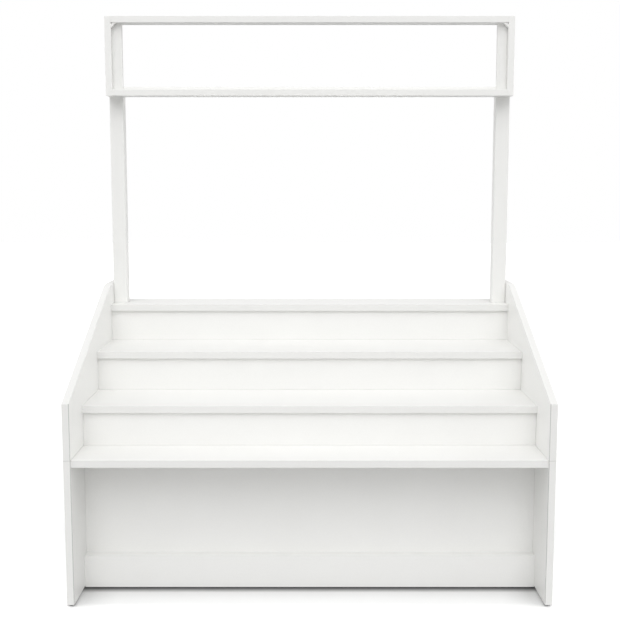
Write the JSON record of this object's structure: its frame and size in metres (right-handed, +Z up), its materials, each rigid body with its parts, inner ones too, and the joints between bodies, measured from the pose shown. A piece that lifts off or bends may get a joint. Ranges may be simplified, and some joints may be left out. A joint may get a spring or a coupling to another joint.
{
  "type": "confectionery display unit",
  "caption": "White stepped shop display stand: shelves between shaped side panels, recessed toe space, open storage behind, and an empty box header on square posts.",
  "frame": {"origin": "on the floor, under the middle of the unit's width and depth", "axes": "+Z up, +X to the right of someone who faces the unit, the front faces -Y"},
  "size_m": [1.2, 0.71, 1.51],
  "materials": {
    "white_board": "satin white melamine-faced board with matching edging",
    "painted_wood": "satin white painted softwood",
    "powder_coated_steel": "satin white powder coat",
    "zinc_plated_steel": "bright zinc plate",
    "dowel_wood": "bare fluted beech",
    "white_plastic": "matt moulded plastic",
    "dark_plastic": "matt moulded plastic"
  },
  "bodies": {
    "root": {"left_lower_side_panel": "white_board", "right_lower_side_panel": "white_board", "left_upper_side_panel": "white_board", "right_upper_side_panel": "white_board", "bottom_shelf": "white_board", "second_shelf": "white_board", "third_shelf": "white_board", "top_shelf": "white_board", "lower_front_panel": "white_board", "lower_riser": "white_board", "middle_riser": "white_board", "upper_riser": "white_board", "kickboard": "white_board", "kickboard_packer": "white_board", "rear_top_rail": "white_board", "rear_middle_rail": "white_board", "rear_bottom_rail": "white_board", "left_post": "powder_coated_steel", "right_post": "powder_coated_steel", "post_bottom_caps": "dark_plastic", "post_top_caps": "white_plastic", "header_top_board": "white_board", "header_bottom_board": "white_board", "header_left_board": "white_board", "header_right_board": "white_board", "header_stiles": "white_board", "header_bead": "painted_wood", "header_corner_blocks": "painted_wood", "header_dowels": "dowel_wood", "header_screws": "zinc_plated_steel", "cam_locks": "zinc_plated_steel", "cam_bolts": "zinc_plated_steel", "board_dowels": "dowel_wood", "post_bolts": "zinc_plated_steel", "post_washers": "zinc_plated_steel", "insert_nuts": "zinc_plated_steel", "kickboard_screws": "zinc_plated_steel", "glides": "dark_plastic", "glide_nails": "zinc_plated_steel"}
  },
  "joints": []
}
